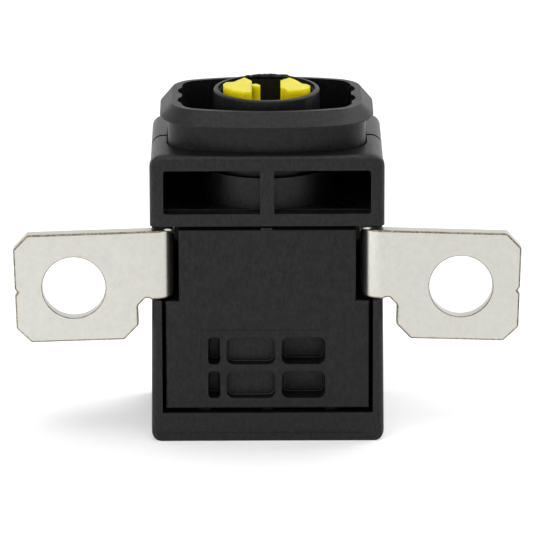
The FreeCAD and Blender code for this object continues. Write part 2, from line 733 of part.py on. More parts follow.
def panel_block():
    """T-shaped block: wide below the terminals, narrow between them."""
    side = [
        (PANEL_LOW_HALF_WIDTH, PANEL_FOOT),
        (PANEL_LOW_HALF_WIDTH, BODY_SHOULDER),
        (PANEL_TOP_HALF_WIDTH, BODY_SHOULDER),
        (PANEL_TOP_HALF_WIDTH, BAR_TOP),
    ]
    outline = side + [(-x, z) for x, z in reversed(side)]
    block = front_prism(outline, PANEL_Y, BODY_REAR_Y)
    return block.makeFillet(PANEL_EDGE_R, rim_edges(block, PANEL_Y))


def side_fins():
    """Short fins beside the narrow top, just in front of the clamped plates."""
    inner = PANEL_TOP_HALF_WIDTH - OVERLAP
    outer = FLANGE_INNER - SIDE_FIN_GAP
    y1 = -BAR_WIDTH / 2 - BAR_SLOT_CLEARANCE
    y0 = y1 - SIDE_FIN_DEPTH
    right = box(inner, outer, y0, y1, BAR_TOP - SIDE_FIN_HEIGHT, BAR_TOP)
    return [right, mirrored(right)]


def bar_slot():
    half_y = BAR_WIDTH / 2 + BAR_SLOT_CLEARANCE
    half_x = PANEL_TOP_HALF_WIDTH + CUT_MARGIN
    return box(-half_x, half_x, -half_y, half_y, BAR_UNDERSIDE, BAR_TOP + CUT_MARGIN)


def body_core():
    """Hollow under the deck, open at the foot, with a rib across the middle."""
    half_x = PANEL_LOW_HALF_WIDTH - BODY_SHELL
    y0 = PANEL_Y + BODY_WALL
    y1 = BODY_REAR_Y - BODY_SHELL
    rib = BODY_SHELL / 2
    right = box(rib, half_x, y0, y1, PANEL_FOOT - CUT_MARGIN, BODY_CEILING)
    return right.fuse(mirrored(right))


def make_catch():
    """Half-round pip over the edge of the panel, flat on top."""
    radius = CATCH_WIDTH / 2
    y0 = PANEL_Y - CATCH_PROUD
    top = BAR_TOP + CATCH_HEIGHT
    disc = Part.makeCylinder(radius, CATCH_DEPTH, vec(CATCH_CENTRE_X, y0, top), vec(0, 1, 0))
    y1 = y0 + CATCH_DEPTH
    x0 = CATCH_CENTRE_X - CATCH_WIDTH
    return disc.common(box(x0, x0 + 2 * CATCH_WIDTH, y0, y1, top - CATCH_WIDTH, top))


def slide_line():
    """Fine line that the slide of the mould leaves round the pockets."""
    x0, x1, top = SLIDE_LINE
    low = PANEL_FOOT - CUT_MARGIN
    y0 = PANEL_Y - CUT_MARGIN
    y1 = PANEL_Y + LINE_DEPTH
    outside = box(x0, x1, y0, y1, low, top)
    return outside.cut(box(x0 + LINE_WIDTH, x1 - LINE_WIDTH, y0, y1, low, top - LINE_WIDTH))


def screw_places():
    return [(sx * SCREW_X, sy * SCREW_Y) for sx in (-1, 1) for sy in (-1, 1)]


def make_lower_body():
    shape = panel_block().fuse([make_catch()] + side_fins())
    shape = shape.cut(bar_slot())
    chamber = rounded_post(
        CHAMBER_HALF_X, CHAMBER_HALF_Y, CHAMBER_CORNER_R,
        CHAMBER_FLOOR, BAR_TOP + CUT_MARGIN,
    )
    shape = shape.cut(chamber).cut(body_core())
    for pocket in panel_pockets():
        shape = shape.cut(pocket)
    shape = shape.cut(slide_line())
    low = DECK_TOP - SCREW_LENGTH - SCREW_TIP_ROOM
    for x, y in screw_places():
        shape = shape.cut(cylinder(SCREW_R + SCREW_FIT, low, BAR_TOP + CUT_MARGIN, x, y))
    return shape.removeSplitter()


def make_deck():
    return rounded_post(DECK_HALF_X, BODY_REAR_Y, DECK_CORNER_R, BAR_TOP, DECK_TOP)


def make_barrel():
    shoulder = DECK_TOP + BARREL_HEIGHT
    barrel = cylinder(BARREL_R, DECK_TOP - OVERLAP, shoulder)
    neck = cylinder(BARREL_NECK_R, shoulder - OVERLAP, SHROUD_FLOOR_TOP)
    return barrel.fuse(neck)


def make_shroud():
    wall = shroud_block(
        SHROUD_HALF_WIDTH, SHROUD_HALF_DEPTH, SHROUD_FRONT_R, SHROUD_CORNER_R,
        SHROUD_FLOOR_TOP - SHROUD_FLOOR_THICKNESS, LIP_HEIGHT,
    )
    wall_line = (SHROUD_HALF_WIDTH, SHROUD_HALF_DEPTH, SHROUD_FRONT_R, SHROUD_CORNER_R)
    lip_line = (LIP_HALF_WIDTH, LIP_HALF_DEPTH, LIP_FRONT_R, LIP_CORNER_R)
    rim_line = (RIM_HALF_WIDTH, RIM_HALF_DEPTH, RIM_FRONT_R, RIM_CORNER_R)
    lip_top = LIP_HEIGHT + LIP_BAND
    underside = Part.makeLoft(
        [shroud_wire(*wall_line, LIP_HEIGHT - LIP_UNDERCUT), shroud_wire(*lip_line, LIP_HEIGHT)],
        True, True,
    )
    band = shroud_block(*lip_line, LIP_HEIGHT, lip_top)
    flare = Part.makeLoft(
        [shroud_wire(*lip_line, lip_top), shroud_wire(*rim_line, RIM_HEIGHT)],
        True, True,
    )
    mouth = shroud_block(
        MOUTH_HALF_WIDTH, MOUTH_HALF_DEPTH, MOUTH_FRONT_R, MOUTH_CORNER_R,
        SHROUD_FLOOR_TOP, RIM_HEIGHT + CUT_MARGIN,
    )
    return wall.fuse([underside, band, flare]).cut(mouth).cut(end_grooves())


def end_grooves():
    """Two shallow upright grooves in each end of the mouth, with a rib between."""
    x = MOUTH_HALF_WIDTH + END_GROOVE_DEPTH - END_GROOVE_R
    top = RIM_HEIGHT + CUT_MARGIN
    grooves = []
    for side in (-1, 1):
        for y in END_GROOVE_PLACES:
            place = side * x, -side * y
            grooves.append(cylinder(END_GROOVE_R, SHROUD_FLOOR_TOP, top, *place))
    return Part.makeCompound(grooves)


def make_socket():
    tube = cylinder(SOCKET_OUTER_R, SHROUD_FLOOR_TOP - OVERLAP, SOCKET_HEIGHT)
    return tube.makeFillet(SOCKET_EDGE_R, flat_edges(tube, SOCKET_HEIGHT)[:1])


def make_upper_body():
    shape = make_deck().fuse([make_barrel(), make_shroud(), make_socket()])
    low = BAR_TOP - CUT_MARGIN
    top = SOCKET_HEIGHT + CUT_MARGIN
    shape = shape.cut(cylinder(BORE_R, low, HOLDER_LEDGE + OVERLAP))
    shape = shape.cut(cylinder(SOCKET_BORE_R, HOLDER_LEDGE, top))
    shape = shape.cut(cylinder(SOCKET_STEP_R, SOCKET_HEIGHT - SOCKET_STEP_DEPTH, top))
    for x, y in screw_places():
        shape = shape.cut(cylinder(SCREW_R + SCREW_FIT, low, DECK_TOP, x, y))
        shape = shape.cut(screw_head(x, y, SCREW_FIT))
    return shape.removeSplitter()


def screw_head(x, y, extra):
    """Countersunk head, flush with the deck."""
    low = DECK_TOP - SCREW_HEAD_HEIGHT
    return Part.makeCone(
        SCREW_R + extra, SCREW_HEAD_R + extra, SCREW_HEAD_HEIGHT, vec(x, y, low),
    )


def make_body_screws():
    screws = []
    for x, y in screw_places():
        neck = DECK_TOP - SCREW_HEAD_HEIGHT + OVERLAP
        shank = cylinder(SCREW_R, DECK_TOP - SCREW_LENGTH, neck, x, y)
        screw = shank.fuse(screw_head(x, y, 0.0))
        half = SCREW_DRIVE_WIDTH / 2
        drive = box(
            x - half, x + half, y - half, y + half,
            DECK_TOP - SCREW_DRIVE_DEPTH, DECK_TOP + CUT_MARGIN,
        )
        drive.rotate(vec(x, y, 0), vec(0, 0, 1), 45)
        screws.append(screw.cut(drive))
    return Part.makeCompound(screws)


def seal_groove(middle_z):
    half = SEAL_GROOVE_HEIGHT / 2
    return ring(PISTON_R + CUT_MARGIN, GROOVE_R, middle_z - half, middle_z + half)


def seal_ring(middle_z):
    middle_r = GROOVE_R + SEAL_SQUEEZE_GAP + SEAL_SECTION_R
    return Part.makeTorus(middle_r, SEAL_SECTION_R, vec(0, 0, middle_z))


def piston_seal_z():
    return PISTON_TOP - PISTON_SEAL_DROP


def holder_seal_z():
    return HOLDER_BOTTOM + HOLDER_BOSS_HEIGHT / 2


def make_piston():
    shape = cylinder(PISTON_R, PISTON_BOTTOM, PISTON_TOP)
    shape = shape.cut(cylinder(PISTON_POCKET_R, PISTON_POCKET_FLOOR, PISTON_TOP + OVERLAP))
    return shape.cut(seal_groove(piston_seal_z()))


def pin_places():
    return (0.0, -PIN_SPACING / 2), (0.0, PIN_SPACING / 2)


def make_igniter_holder():
    shape = cylinder(SOCKET_BORE_R - HOLDER_FIT, HOLDER_LEDGE, HOLDER_TOP)
    boss = cylinder(PISTON_R, HOLDER_BOTTOM, HOLDER_LEDGE)
    shape = shape.fuse(boss).removeSplitter()
    shape = shape.cut(seal_groove(holder_seal_z()))
    shape = shape.cut(cylinder(HEADER_R + FIT, HOLDER_BOTTOM - OVERLAP, HEADER_TOP))
    for x, y in pin_places():
        shape = shape.cut(cylinder(PIN_R + FIT, HOLDER_BOTTOM, HOLDER_TOP + OVERLAP, x, y))
    return shape


def make_igniter_header():
    signal, ground = pin_places()
    shape = cylinder(HEADER_R, HEADER_BOTTOM, HEADER_TOP)
    low = HEADER_BOTTOM - OVERLAP
    top = HEADER_TOP + OVERLAP
    shape = shape.cut(cylinder(GLASS_R + FIT, low, top, *signal))
    return shape.cut(cylinder(PIN_R + FIT, low, top, *ground))


def make_glass_seal():
    signal = pin_places()[0]
    shape = cylinder(GLASS_R, HEADER_BOTTOM, HEADER_TOP, *signal)
    low = HEADER_BOTTOM - OVERLAP
    return shape.cut(cylinder(PIN_R + FIT, low, HEADER_TOP + OVERLAP, *signal))


def make_pin(place):
    shape = cylinder(PIN_R, HEADER_BOTTOM, PIN_TOP, *place)
    return shape.makeFillet(PIN_TIP_R, flat_edges(shape, PIN_TOP)[:1])


def make_igniter_cup():
    shape = cylinder(CUP_OUTER_R, CUP_BOTTOM, CUP_TOP)
    return shape.cut(cylinder(HEADER_R + FIT, CUP_BOTTOM + CUP_WALL, CUP_TOP + OVERLAP))


def make_propellant_charge():
    low = CUP_BOTTOM + CUP_WALL
    return cylinder(HEADER_R, low, low + CHARGE_HEIGHT)


def spring_room():
    """Space that the leaf spring needs beside the pins."""
    x1 = -PIN_R
    x0 = x1 - SPRING_PIN_GAP - SPRING_BOW - SPRING_ROOM
    half_y = SPRING_WIDTH / 2 + SPRING_ROOM
    z1 = INSERT_BASE_TOP + SPRING_HEIGHT + SPRING_ROOM
    return box(x0, x1, -half_y, half_y, INSERT_BASE_TOP, z1)


def make_connector_retainer():
    base = cylinder(INSERT_R, HOLDER_TOP, INSERT_BASE_TOP)
    low = INSERT_BASE_TOP - INSERT_LUG_SINK
    top = INSERT_TOP + OVERLAP
    lugs = [
        plan_prism(LEFT_LUG, low, INSERT_TOP),
        plan_prism(RIGHT_LUG, low, INSERT_TOP),
        plan_prism(LEFT_STEP, low, INSERT_STEP_TOP),
    ]
    shape = base.fuse(lugs).common(cylinder(INSERT_R, HOLDER_TOP, top))
    for x, y in pin_places():
        shape = shape.cut(cylinder(PIN_R + INSERT_PIN_ROOM, HOLDER_TOP - OVERLAP, top, x, y))
    return shape.cut(spring_room()).removeSplitter()


def make_shorting_spring():
    """Bent leaf, slit into two fingers, that stands beside both pins."""
    face = -PIN_R - SPRING_PIN_GAP
    back = face - SPRING_BOW
    low = INSERT_BASE_TOP
    top = low + SPRING_HEIGHT
    knee = low + SPRING_HEIGHT * SPRING_KNEE_SHARE
    thick = SPRING_THICKNESS
    outline = [
        (back, low),
        (back + SPRING_FOOT, low),
        (back + SPRING_FOOT, low + thick),
        (back + 1.5 * thick, low + thick),
        (face, knee),
        (back + SPRING_TIP, top),
        (back + SPRING_TIP - thick, top),
        (face - 1.2 * thick, knee),
        (back, low + 1.2 * thick),
    ]
    half = SPRING_WIDTH / 2
    leaf = front_prism(outline, -half, half)
    slit = box(
        back - OVERLAP, face + OVERLAP, -SPRING_SLIT / 2, SPRING_SLIT / 2,
        low + 2 * thick, top + OVERLAP,
    )
    return leaf.cut(slit)


def make_parts():
    signal, ground = pin_places()
    right = make_right_terminal()
    return {
        "front_cage": make_front_cage(),
        "rear_cage": make_rear_cage(),
        "upper_body": make_upper_body(),
        "lower_body": make_lower_body(),
        "left_terminal": mirrored(right),
        "right_terminal": right,
        "shear_bridge": make_shear_bridge(),
        "piston": make_piston(),
        "piston_seal": seal_ring(piston_seal_z()),
        "igniter_holder": make_igniter_holder(),
        "igniter_seal": seal_ring(holder_seal_z()),
        "igniter_header": make_igniter_header(),
        "glass_seal": make_glass_seal(),
        "signal_pin": make_pin(signal),
        "ground_pin": make_pin(ground),
        "igniter_cup": make_igniter_cup(),
        "propellant_charge": make_propellant_charge(),
        "connector_retainer": make_connector_retainer(),
        "shorting_spring": make_shorting_spring(),
        "body_screws": make_body_screws(),
    }


def main():
    os.makedirs("parts", exist_ok=True)
    for name, shape in make_parts().items():
        shape.exportStep(f"parts/{name}.step")


main()
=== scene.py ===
import json
import math

import bpy
from mathutils import Matrix, Vector


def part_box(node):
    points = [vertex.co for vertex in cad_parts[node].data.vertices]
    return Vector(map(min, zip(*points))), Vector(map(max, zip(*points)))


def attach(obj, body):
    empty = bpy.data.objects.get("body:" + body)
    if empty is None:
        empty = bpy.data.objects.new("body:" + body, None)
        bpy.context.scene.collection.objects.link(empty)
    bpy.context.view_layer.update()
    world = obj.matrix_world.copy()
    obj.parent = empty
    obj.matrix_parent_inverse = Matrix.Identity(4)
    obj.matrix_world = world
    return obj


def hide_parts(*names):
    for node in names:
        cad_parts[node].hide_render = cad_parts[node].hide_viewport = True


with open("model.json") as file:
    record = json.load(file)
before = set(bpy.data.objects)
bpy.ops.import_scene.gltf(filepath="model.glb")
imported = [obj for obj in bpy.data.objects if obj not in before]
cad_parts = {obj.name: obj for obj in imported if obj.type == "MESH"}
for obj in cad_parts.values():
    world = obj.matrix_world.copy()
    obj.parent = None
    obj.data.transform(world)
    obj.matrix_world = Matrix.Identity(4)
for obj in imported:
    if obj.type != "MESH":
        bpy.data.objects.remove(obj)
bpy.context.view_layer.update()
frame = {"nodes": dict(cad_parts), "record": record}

MM = 0.001


def mm(*values):
    """Millimetres as metres, the unit of the whole script."""
    return tuple(value * MM for value in values)


# Camera, worked out from the terminals and the cage in the photograph
CAMERA_AZIMUTH_DEG = -0.21
CAMERA_ELEVATION_DEG = 16.785
CAMERA_ROLL_DEG = -0.173
CAMERA_DISTANCE = 765.2 * MM
CAMERA_TARGET = Vector((-0.119, -11.75, 26.067)) * MM
CAMERA_NEAREST = 0.01
CAMERA_FARTHEST = 20.0
IMAGE_PIXELS = 533
TARGET_PIXELS_PER_METRE = 7046.0
SENSOR_WIDTH_MM = 36.0

# Studio: the backdrop is seen white, but lights the part with less
BACKDROP_SEEN = 1.0
BACKDROP_LIGHT = 0.66
FLOOR_HALF_WIDTH = 1.5
FLOOR_GREY = 0.86
FLOOR_ROUGHNESS = 0.9
FLOOR_LIFT = 0.165

# Lamps: place, point aimed at, width and height, watts, spread in degrees (metres)
LAMPS = {
    "back_right_softbox": ((0.44, 0.2, 0.66), (0.0, 0.0, 0.02), (0.55, 0.55), 3.8, 180.0),
    "front_top_softbox": ((-0.16, -0.33, 0.72), (0.0, 0.0, 0.03), (0.4, 0.3), 1.2, 180.0),
    "front_left_softbox": ((-0.5, -0.5, 0.2), (0.0, 0.0, 0.035), (0.15, 0.35), 0.35, 180.0),
    "front_left_pool": ((-0.32, -0.28, 0.25), (-0.17, -0.09, 0.0), (0.1, 0.1), 0.11, 40.0),
}

# Shades of the patterned materials: place in the pattern and colour
TIN_SHADES = (
    (0.3, (0.52, 0.508, 0.455, 1.0)),
    (0.5, (0.562, 0.553, 0.512, 1.0)),
    (0.7, (0.588, 0.581, 0.543, 1.0)),
)
SHEARED_SHADES = ((0.35, (0.12, 0.095, 0.065, 1.0)), (0.7, (0.36, 0.32, 0.26, 1.0)))
YELLOW_SHADES = ((0.3, (0.65, 0.56, 0.0, 1.0)), (0.7, (0.69, 0.6, 0.0, 1.0)))
GLASS_SHADES = ((0.3, (0.1, 0.25, 0.2, 1.0)), (0.7, (0.18, 0.36, 0.3, 1.0)))

# Edge finish of the moulded and stamped pieces
SHARP_ANGLE_DEG = 32.0
FLAT_ANGLE_DEG = 0.5
WELD_DISTANCE = 0.001 * MM
BEVEL_SEGMENTS = 2
MOULDED_EDGE = 0.16 * MM
STAMPED_EDGE = 0.12 * MM
POCKET_EDGE = 0.12 * MM
FINE_EDGE = 0.05 * MM
EDGE_WIDTHS = {
    "front_cage": MOULDED_EDGE,
    "rear_cage": MOULDED_EDGE,
    "upper_body": MOULDED_EDGE,
    "lower_body": POCKET_EDGE,
    "left_terminal": STAMPED_EDGE,
    "right_terminal": STAMPED_EDGE,
    "connector_retainer": FINE_EDGE,
}

# Sheared rims are the faces that slant to the plate, past its bend or on its top and bottom.
# The limits are parts of a face's unit normal: through the plate, and upwards.
BEND_REACH = 17.0 * MM
RIM_LEAST_LEAN = 0.3
RIM_MOST_LEAN = 0.95
LEVEL_LEAST_RISE = 0.3

# Burnished roll of metal over the top of each bend: start, middle and end of its line
ROLLS = {
    "left_bend_roll": (mm(-14.7, -11.4, 31.5), mm(-13.35, -11.3, 31.62), mm(-13.25, -9.55, 30.5)),
    "right_bend_roll": (mm(14.9, -11.1, 31.55), mm(13.9, -11.3, 31.62), mm(13.2, -10.0, 31.2)),
}
ROLL_THICKNESS = 0.27 * MM

# Uneven mould flash left on the far rim of the socket ring
FLASH_LINE = (mm(-4.0, 6.0, 49.05), mm(0.1, 8.15, 49.05), mm(4.3, 5.85, 49.05))
FLASH_THICKNESS = 0.34 * MM
FLASH_UNEVENNESS = 0.5 * MM
FLASH_CLUMP = 0.7 * MM
FLASH_DETAIL = 3.0
NOISE_MIDDLE = (0.5, 0.5, 0.5)

# Bead: steps along and sides round it, how full its middle is, and how thin its ends
BEAD_STEPS = 40
BEAD_SIDES = 12
BEAD_FULLNESS = 1.8
BEAD_TIP = 0.1

# Round foot of the walls in the panel's pockets: middle, width, depth and corner of each column
POCKET_COLUMNS = {
    "slot_pocket_feet": mm(-7.63, 1.73, 3.2, 0.6),
    "middle_pocket_feet": mm(-2.37, 6.94, 1.6, 1.0),
    "right_pocket_feet": mm(5.1, 6.2, 3.2, 1.0),
}
POCKET_HEIGHT = 4.07 * MM
POCKET_ROWS = 2
POCKET_LOW_ROW = 8.35 * MM
POCKET_ROW_SPACING = 5.05 * MM
POCKET_CORNER_STEPS = 8
PANEL_FACE = -11.4 * MM
FOOT_THICKNESS = 0.2 * MM
FOOT_INSET = 0.09 * MM
FOOT_SIDES = 12

# Screws of the upper body
SCREW_HEAD_RADIUS = 2.35 * MM
SCREW_HEAD_HEIGHT = 1.3 * MM
SCREW_HEAD_SIDES = 48
SCREW_CORE_RADIUS = 1.05 * MM
SCREW_CORE_SIDES = 32
SCREW_THREAD_HEIGHT = 0.19 * MM
SCREW_THREAD_START = 1.8 * MM
SCREW_THREAD_SIDES = 4
SCREW_TURN_STEPS = 24
SCREW_PITCH = 0.8 * MM
SCREW_RECESS_WIDTH = 1.5 * MM
SCREW_RECESS_DEPTH = 0.9 * MM
SCREW_RECESS_SIDES = 4


def grey(value):
    return (value, value, value, 1.0)


def add_object(name, data):
    item = bpy.data.objects.new(name, data)
    bpy.context.scene.collection.objects.link(item)
    return item


class Nodes:
    """Lays out the nodes of one tree. An input is linked if it is given a socket, or else set."""

    def __init__(self, tree):
        self.tree = tree

    def put(self, node, key, value):
        if isinstance(value, bpy.types.NodeSocket):
            self.tree.links.new(value, node.inputs[key])
        else:
            node.inputs[key].default_value = value

    def add(self, kind, inputs=None, **settings):
        node = self.tree.nodes.new(kind)
        for key, value in settings.items():
            setattr(node, key, value)
        for key, value in (inputs or {}).items():
            self.put(node, key, value)
        return node

    def calculate(self, operation, first, second=0.0):
        node = self.add("ShaderNodeMath", {0: first, 1: second}, operation=operation)
        return node.outputs[0]


class Shader(Nodes):
    """One material: a Principled surface, with patterns laid on object coordinates."""

    def __init__(self, name):
        self.material = bpy.data.materials.new(name)
        self.material.use_nodes = True
        super().__init__(self.material.node_tree)
        self.tree.nodes.clear()
        self.surface = self.add("ShaderNodeBsdfPrincipled")
        self.add("ShaderNodeOutputMaterial", {"Surface": self.surface.outputs["BSDF"]})
        self.place = self.add("ShaderNodeTexCoord").outputs["Object"]

    def set(self, **values):
        for key, value in values.items():
            self.put(self.surface, key.replace("_", " "), value)

    def noise(self, size, detail, roughness=0.5, stretch=None):
        place = self.place
        if stretch is not None:
            mapping = self.add("ShaderNodeMapping", {"Vector": place, "Scale": stretch})
            place = mapping.outputs["Vector"]
        values = {"Vector": place, "Scale": 1.0 / size, "Detail": detail, "Roughness": roughness}
        return self.add("ShaderNodeTexNoise", values).outputs["Fac"]

    def ramp(self, pattern, shades):
        node = self.add("ShaderNodeValToRGB", {"Fac": pattern})
        elements = node.color_ramp.elements
        while len(elements) < len(shades):
            elements.new(0.5)
        for element, (position, colour) in zip(elements, shades):
            element.position = position
            element.color = colour
        return node.outputs["Color"]

    def spread(self, pattern, low, high):
        """Value between low and high that follows a 0 to 1 pattern."""
        node = self.add("ShaderNodeMapRange", {"Value": pattern, "To Min": low, "To Max": high})
        return node.outputs["Result"]

    def bump(self, pattern, height, strength=1.0, below=None):
        values = {"Height": pattern, "Strength": strength, "Distance": height}
        if below is not None:
            values["Normal"] = below
        return self.add("ShaderNodeBump", values).outputs["Normal"]


def moulded(name, dark, light, grain, roughness, gloss=0.5):
    """Glass-filled plastic or rubber: spark-eroded grain, faint flow streaks, uneven sheen."""
    shader = Shader(name)
    tone = shader.noise(size=0.45 * MM, detail=6.0, roughness=0.8, stretch=(1.0, 1.0, 0.5))
    sheen = shader.noise(size=1.2 * MM, detail=5.0)
    skin = shader.noise(size=grain, detail=3.0, roughness=0.6)
    ripple = shader.noise(size=3.0 * MM, detail=2.0)
    fine = shader.bump(skin, height=0.05 * MM, strength=0.9)
    shader.set(
        Base_Color=shader.ramp(tone, ((0.36, dark), (0.66, light))),
        Specular_IOR_Level=shader.spread(tone, low=gloss - 0.1, high=gloss + 0.1),
        Roughness=shader.spread(sheen, low=roughness - 0.05, high=roughness + 0.06),
        Normal=shader.bump(ripple, height=0.03 * MM, strength=0.35, below=fine),
    )
    return shader.material


def tin_plate(name):
    """Matt tin on copper: cloudy crystals and fine rolling lines."""
    shader = Shader(name)
    cloud = shader.noise(size=0.9 * MM, detail=7.0, roughness=0.8)
    lines = shader.noise(size=0.5 * MM, detail=4.0, stretch=(0.08, 1.0, 1.0))
    crystals = shader.bump(cloud, height=0.006 * MM, strength=0.3)
    shader.set(
        Base_Color=shader.ramp(cloud, TIN_SHADES),
        Metallic=1.0,
        Roughness=shader.spread(lines, low=0.26, high=0.37),
        Normal=shader.bump(lines, height=0.004 * MM, strength=0.5, below=crystals),
    )
    return shader.material


def sheared_tin(name):
    """Rolled-over rim of the stamped plate, where the tin is thin and the copper shows."""
    shader = Shader(name)
    torn = shader.noise(size=0.35 * MM, detail=4.0)
    shader.set(
        Base_Color=shader.ramp(torn, SHEARED_SHADES),
        Metallic=1.0,
        Roughness=shader.spread(torn, low=0.3, high=0.5),
        Normal=shader.bump(torn, height=0.02 * MM, strength=0.6),
    )
    return shader.material


def insert_yellow(name):
    """Bright yellow plastic that lets some light through its thin edges."""
    shader = Shader(name)
    tone = shader.noise(size=1.5 * MM, detail=3.0)
    skin = shader.noise(size=0.09 * MM, detail=2.0)
    shader.set(
        Base_Color=shader.ramp(tone, YELLOW_SHADES),
        Subsurface_Weight=0.9,
        Subsurface_Scale=3.0 * MM,
        Subsurface_Radius=(1.0, 0.85, 0.05),
        Specular_IOR_Level=0.35,
        Roughness=shader.spread(tone, low=0.32, high=0.45),
        Normal=shader.bump(skin, height=0.006 * MM, strength=0.5),
    )
    return shader.material


def plain_metal(name, dark, light, roughness):
    """Drawn or turned metal, slightly clouded."""
    shader = Shader(name)
    tone = shader.noise(size=0.8 * MM, detail=4.0)
    shader.set(
        Base_Color=shader.ramp(tone, ((0.3, dark), (0.7, light))),
        Metallic=1.0,
        Roughness=shader.spread(tone, low=roughness - 0.06, high=roughness + 0.08),
        Normal=shader.bump(tone, height=0.004 * MM, strength=0.5),
    )
    return shader.material


def fused_glass(name):
    """Greenish sealing glass, half clear."""
    shader = Shader(name)
    tone = shader.noise(size=0.5 * MM, detail=2.0)
    shader.set(
        Base_Color=shader.ramp(tone, GLASS_SHADES),
        Transmission_Weight=0.6,
        Roughness=0.12,
        Normal=shader.bump(tone, height=0.003 * MM),
    )
    return shader.material


def make_materials():
    """One material for each slot of the record, and one for the sheared rims."""
    return {
        "cage_plastic": moulded(
            "cage_black", grey(0.001), grey(0.011), grain=0.11 * MM, roughness=0.33, gloss=0.27,
        ),
        "body_plastic": moulded(
            "core_black", grey(0.001), grey(0.008), grain=0.13 * MM, roughness=0.38, gloss=0.26,
        ),
        "holder_plastic": moulded(
            "holder_black", grey(0.004), grey(0.008), grain=0.1 * MM, roughness=0.4,
        ),
        "piston_plastic": moulded(
            "piston_natural", (0.5, 0.46, 0.36, 1.0), (0.6, 0.56, 0.46, 1.0),
            grain=0.1 * MM, roughness=0.45,
        ),
        "seal_rubber": moulded(
            "seal_black", grey(0.006), grey(0.01), grain=0.06 * MM, roughness=0.6,
        ),
        "charge": moulded(
            "charge_grey", grey(0.06), grey(0.12), grain=0.1 * MM, roughness=0.85,
        ),
        "tinned_copper": tin_plate("tin_plate"),
        "sheared_rim": sheared_tin("sheared_tin"),
        "insert_plastic": insert_yellow("insert_yellow"),
        "header_steel": plain_metal("drawn_steel", grey(0.42), grey(0.55), roughness=0.3),
        "spring_steel": plain_metal("spring_steel", grey(0.4), grey(0.5), roughness=0.32),
        # Black zinc finish, its colour darkened further as painted shade so the screw heads stay as
        # dark as the shade inside the windows.
        "screw_steel": plain_metal("black_zinc", grey(0.008), grey(0.018), roughness=0.5),
        "pin_gold": plain_metal(
            "pin_gold", (0.72, 0.5, 0.16, 1.0), (0.85, 0.62, 0.24, 1.0), roughness=0.25,
        ),
        "seal_glass": fused_glass("fused_glass"),
    }


class Rule(Nodes):
    """One Geometry Nodes tree with named inputs, which alters a mesh or makes a new one."""

    def __init__(self, name, sizes, alters_mesh=False):
        super().__init__(bpy.data.node_groups.new(name, "GeometryNodeTree"))
        face = self.tree.interface
        face.new_socket("Geometry", in_out="OUTPUT", socket_type="NodeSocketGeometry")
        if alters_mesh:
            face.new_socket("Geometry", in_out="INPUT", socket_type="NodeSocketGeometry")
        for label, value in sizes.items():
            kind = "NodeSocketFloat" if isinstance(value, float) else "NodeSocketVector"
            face.new_socket(label, in_out="INPUT", socket_type=kind).default_value = value
        if not alters_mesh:
            face.new_socket("Finish", in_out="INPUT", socket_type="NodeSocketMaterial")
        self.given = self.tree.nodes.new("NodeGroupInput").outputs
        self.leave = self.tree.nodes.new("NodeGroupOutput")

    def vector(self, x, y, z):
        return self.add("ShaderNodeCombineXYZ", {"X": x, "Y": y, "Z": z}).outputs[0]

    def moved(self, geometry, offset):
        values = {"Geometry": geometry, "Translation": offset}
        return self.add("GeometryNodeTransform", values).outputs[0]

    def smooth(self, geometry):
        return self.add("GeometryNodeSetShadeSmooth", {"Geometry": geometry}).outputs[0]

    def ring(self, sides, radius):
        values = {"Resolution": sides, "Radius": radius}
        return self.add("GeometryNodeCurvePrimitiveCircle", values).outputs[0]

    def cylinder(self, sides, radius, depth):
        values = {"Vertices": sides, "Radius": radius, "Depth": depth}
        return self.add("GeometryNodeMeshCylinder", values).outputs["Mesh"]

    def swept(self, curve, profile, scale=1.0, capped=False):
        values = {"Curve": curve, "Profile Curve": profile, "Scale": scale, "Fill Caps": capped}
        return self.add("GeometryNodeCurveToMesh", values).outputs[0]

    def on_points(self, points, instance):
        values = {"Points": points, "Instance": instance}
        return self.add("GeometryNodeInstanceOnPoints", values).outputs[0]

    def finish(self, geometry):
        """Ends the tree with this geometry."""
        self.put(self.leave, "Geometry", geometry)
        return self.tree

    def finish_piece(self, geometry):
        """Ends the tree with real geometry in the material that it was given."""
        real = self.add("GeometryNodeRealizeInstances", {"Geometry": geometry}).outputs[0]
        values = {"Geometry": real, "Material": self.given["Finish"]}
        return self.finish(self.add("GeometryNodeSetMaterial", values).outputs[0])


def joined_skin_rule():
    """Joins a node's loose triangles and shades it smooth between its sharp edges."""
    rule = Rule("joined_skin", {"Sharp angle": math.radians(SHARP_ANGLE_DEG)}, alters_mesh=True)
    merge = rule.add("GeometryNodeMergeByDistance", {
        "Geometry": rule.given["Geometry"], "Distance": WELD_DISTANCE,
    })
    fold = rule.add("GeometryNodeInputMeshEdgeAngle").outputs["Unsigned Angle"]
    over = rule.add(
        "FunctionNodeCompare", {"A": fold, "B": rule.given["Sharp angle"]},
        data_type="FLOAT", operation="GREATER_THAN",
    )
    sharp = rule.add("GeometryNodeSetShadeSmooth", {
        "Geometry": rule.smooth(merge.outputs["Geometry"]),
        "Selection": over.outputs["Result"], "Shade Smooth": False,
    }, domain="EDGE")
    return rule.finish(sharp.outputs["Geometry"])


